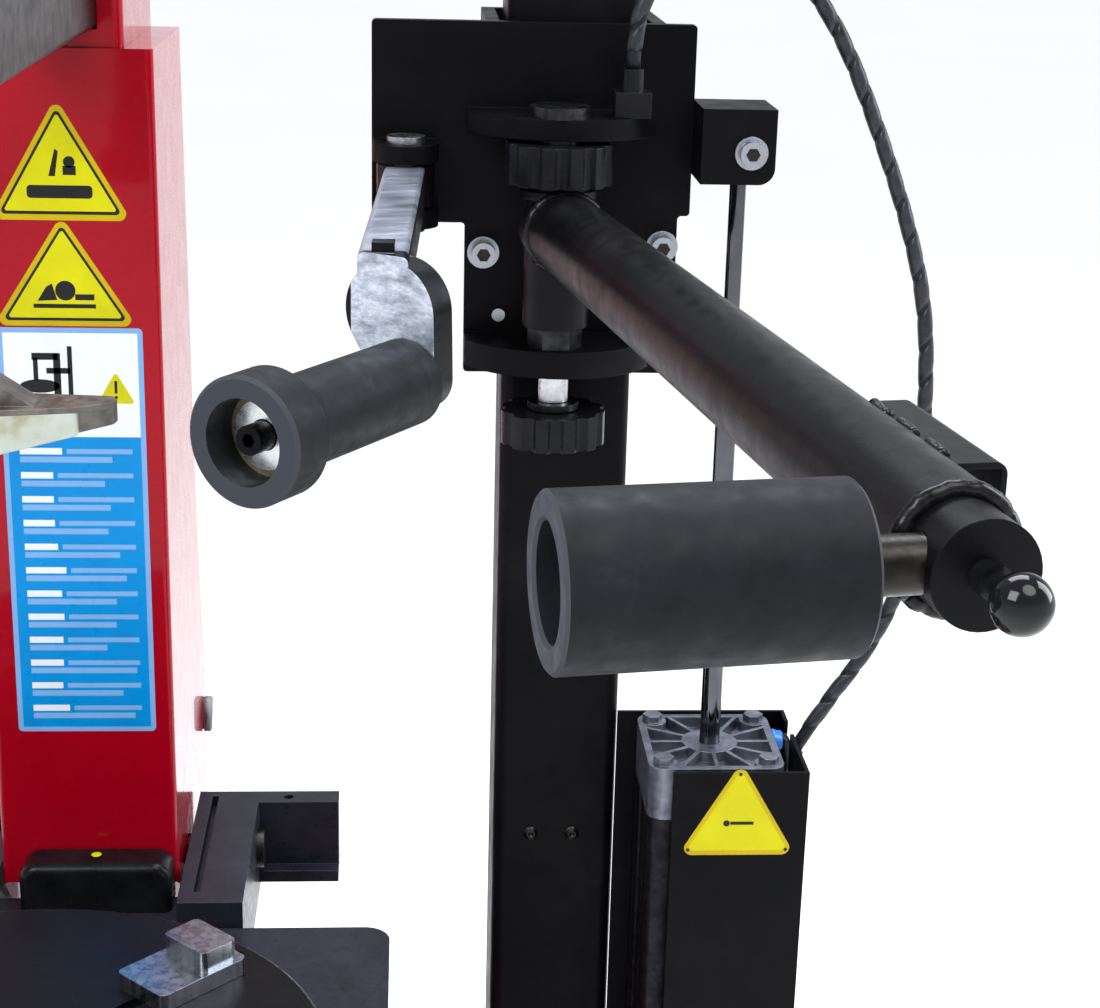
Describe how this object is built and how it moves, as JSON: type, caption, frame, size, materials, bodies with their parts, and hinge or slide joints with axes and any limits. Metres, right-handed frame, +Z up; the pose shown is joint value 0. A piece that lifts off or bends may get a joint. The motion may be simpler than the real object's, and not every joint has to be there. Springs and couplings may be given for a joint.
{
  "type": "tire changer machine",
  "caption": "Tilting-column tire changer with turntable, bead breaker, pedals and a pneumatic help arm that carries a press roller and a bead-lifting roller.",
  "frame": {"origin": "on the floor, at the centre of the four anchor holes, under the turntable's axis", "axes": "+Z up, -Y towards the operator, +X towards the help arm's post"},
  "size_m": [1.0133, 1.3895, 1.974],
  "materials": {
    "black_paint": "black powder coat, fine sand texture",
    "red_paint": "glossy red paint",
    "steel": "bare and zinc-plated steel",
    "chrome": "hard chrome plate",
    "aluminium": "die-cast and extruded aluminium",
    "cast_iron": "cast iron and cast steel",
    "rubber": "black rubber",
    "roller_rubber": "charcoal rubber, scuffed",
    "hose": "dark hose in a spiral wrap",
    "black_plastic": "black moulded plastic",
    "gloss_plastic": "glossy black phenolic",
    "white_nylon": "white nylon"
  },
  "bodies": {
    "machine": {"base_frame": "black_paint", "cabinet_shell": "red_paint", "deck_plate": "black_paint", "rear_frame": "black_paint", "tilt_hinge_pin": "steel", "column_foot_cover": "black_plastic", "tilt_cylinder": "aluminium", "gearbox_housing": "cast_iron", "motor": "black_paint", "drive_belt": "rubber", "breaker_cylinder": "black_paint", "breaker_bracket": "black_paint", "wheel_bumper": "rubber", "help_column": "black_paint", "lift_cylinder_barrel": "aluminium", "lift_cylinder_cover": "aluminium", "cylinder_guard": "black_paint", "hose_fitting": "black_plastic", "air_hose": "hose"},
    "turntable": {"turntable_disc": "black_paint", "turntable_spindle": "steel", "jaw_cylinders": "aluminium"},
    "jaw_1": {"jaw_1": "steel"},
    "jaw_2": {"jaw_2": "steel"},
    "jaw_3": {"jaw_3": "steel"},
    "jaw_4": {"jaw_4": "steel"},
    "worm": {"worm_shaft": "steel"},
    "motor_rotor": {"motor_pulley": "cast_iron"},
    "column": {"tilt_column": "red_paint", "column_head": "red_paint"},
    "tilt_rod": {"tilt_rod": "chrome"},
    "arm": {"horizontal_arm": "black_paint"},
    "lock": {"lock_handle": "black_plastic"},
    "shaft": {"hex_shaft": "chrome", "mount_head": "cast_iron", "head_insert": "white_nylon", "shaft_spring": "steel"},
    "breaker": {"breaker_arm": "black_paint"},
    "breaker_rod": {"breaker_rod": "chrome"},
    "shovel": {"breaker_shovel": "black_paint"},
    "pedal_1": {"pedal_1": "black_paint"},
    "pedal_2": {"pedal_2": "black_paint"},
    "pedal_3": {"pedal_3": "black_paint"},
    "carriage": {"carriage_frame": "black_paint", "slide_pads": "white_nylon", "carriage_bolts": "steel", "pivot_pin": "steel", "lift_rod": "chrome", "hose_top_fitting": "black_plastic"},
    "press_arm": {"press_arm": "black_paint", "roller_shaft": "steel", "ball_knob": "gloss_plastic"},
    "press_roller": {"press_roller": "roller_rubber", "roller_hub": "steel"},
    "bar": {"bar_arm": "steel", "tulip_stud": "steel"},
    "tulip": {"tulip_roller": "roller_rubber", "tulip_bearings": "steel"},
    "upper_knob": {"upper_knob": "black_plastic"},
    "lower_knob": {"lower_knob": "black_plastic"}
  },
  "joints": [
    {"name": "turntable_spin", "type": "hinge", "parent": "machine", "child": "turntable", "pos_m": [0, 0, 0.7], "axis": [0, 0, 1], "continuous": true},
    {"name": "jaw_1_slide", "type": "slide", "parent": "turntable", "child": "jaw_1", "axis": [0.7071, 0.7071, 0], "range_m": [-0.06, 0.03]},
    {"name": "jaw_2_slide", "type": "slide", "parent": "turntable", "child": "jaw_2", "axis": [-0.7071, 0.7071, 0], "range_m": [-0.06, 0.03]},
    {"name": "jaw_3_slide", "type": "slide", "parent": "turntable", "child": "jaw_3", "axis": [-0.7071, -0.7071, 0], "range_m": [-0.06, 0.03]},
    {"name": "jaw_4_slide", "type": "slide", "parent": "turntable", "child": "jaw_4", "axis": [0.7071, -0.7071, 0], "range_m": [-0.06, 0.03]},
    {"name": "worm_spin", "type": "hinge", "parent": "machine", "child": "worm", "pos_m": [0, 0.0755, 0.5175], "axis": [1, 0, 0], "continuous": true},
    {"name": "motor_spin", "type": "hinge", "parent": "machine", "child": "motor_rotor", "pos_m": [0, 0.0755, 0.25], "axis": [1, 0, 0], "continuous": true},
    {"name": "column_tilt", "type": "hinge", "parent": "machine", "child": "column", "pos_m": [0, 0.545, 0.6], "axis": [-1, 0, 0], "range_deg": [0, 20]},
    {"name": "tilt_rod_slide", "type": "slide", "parent": "machine", "child": "tilt_rod", "axis": [0, -1, 0], "range_m": [0, 0.04]},
    {"name": "arm_slide", "type": "slide", "parent": "column", "child": "arm", "axis": [0, -1, 0], "range_m": [-0.12, 0.1]},
    {"name": "lock_lever", "type": "hinge", "parent": "arm", "child": "lock", "pos_m": [-0.064, -0.1, 1.435], "axis": [1, 0, 0], "range_deg": [0, 40]},
    {"name": "shaft_slide", "type": "slide", "parent": "arm", "child": "shaft", "axis": [0, 0, 1], "range_m": [-0.4, 0.02], "deforming": ["shaft_spring"]},
    {"name": "breaker_swing", "type": "hinge", "parent": "machine", "child": "breaker", "pos_m": [0.33, 0.12, 0.356], "axis": [0, 0, 1], "range_deg": [-7, 16]},
    {"name": "breaker_rod_slide", "type": "slide", "parent": "machine", "child": "breaker_rod", "axis": [1, 0, 0], "range_m": [-0.02, 0.045]},
    {"name": "shovel_pivot", "type": "hinge", "parent": "breaker", "child": "shovel", "pos_m": [0.3669, -0.2264, 0.356], "axis": [0, 0, 1], "range_deg": [-12, 12]},
    {"name": "pedal_1_press", "type": "hinge", "parent": "machine", "child": "pedal_1", "pos_m": [-0.11, -0.28, 0.11], "axis": [1, 0, 0], "range_deg": [0, 12], "stiffness_Nm_per_rad": 12, "springref_deg": -22.92},
    {"name": "pedal_2_press", "type": "hinge", "parent": "machine", "child": "pedal_2", "pos_m": [0, -0.28, 0.11], "axis": [1, 0, 0], "range_deg": [0, 12], "stiffness_Nm_per_rad": 12, "springref_deg": -22.92},
    {"name": "pedal_3_press", "type": "hinge", "parent": "machine", "child": "pedal_3", "pos_m": [0.11, -0.28, 0.11], "axis": [1, 0, 0], "range_deg": [0, 12], "stiffness_Nm_per_rad": 12, "springref_deg": -22.92},
    {"name": "carriage_lift", "type": "slide", "parent": "machine", "child": "carriage", "axis": [0, 0, 1], "range_m": [-0.28, 0.2], "deforming": ["air_hose"]},
    {"name": "press_arm_swing", "type": "hinge", "parent": "carriage", "child": "press_arm", "pos_m": [0.397, 0.168, 1.289], "axis": [0, 0, 1], "range_deg": [-12, 60]},
    {"name": "press_roller_spin", "type": "hinge", "parent": "press_arm", "child": "press_roller", "pos_m": [0.51255, -0.56749, 1.289], "axis": [-0.9879, -0.1552, 0], "continuous": true},
    {"name": "bar_swing", "type": "hinge", "parent": "carriage", "child": "bar", "pos_m": [0.287, 0.19, 1.315], "axis": [0, 0, 1], "range_deg": [-10, 6]},
    {"name": "tulip_spin", "type": "hinge", "parent": "bar", "child": "tulip", "pos_m": [0.288, -0.1685, 1.258], "axis": [-0.5417, -0.8406, 0], "continuous": true},
    {"name": "upper_knob_turn", "type": "hinge", "parent": "carriage", "child": "upper_knob", "pos_m": [0.397, 0.168, 1.335], "axis": [0, 0, 1], "continuous": true},
    {"name": "lower_knob_turn", "type": "hinge", "parent": "carriage", "child": "lower_knob", "pos_m": [0.397, 0.168, 1.14], "axis": [0, 0, 1], "continuous": true}
  ],
  "couplings": [
    {"joint": "jaw_2_slide", "follows": "jaw_1_slide", "ratio": 1},
    {"joint": "jaw_3_slide", "follows": "jaw_1_slide", "ratio": 1},
    {"joint": "jaw_4_slide", "follows": "jaw_1_slide", "ratio": 1},
    {"joint": "worm_spin", "follows": "turntable_spin", "ratio": 40},
    {"joint": "motor_spin", "follows": "turntable_spin", "ratio": 80},
    {"joint": "tilt_rod_slide", "follows": "column_tilt", "m_per_rad": 0.105},
    {"joint": "breaker_rod_slide", "follows": "breaker_swing", "m_per_rad": 0.155}
  ]
}
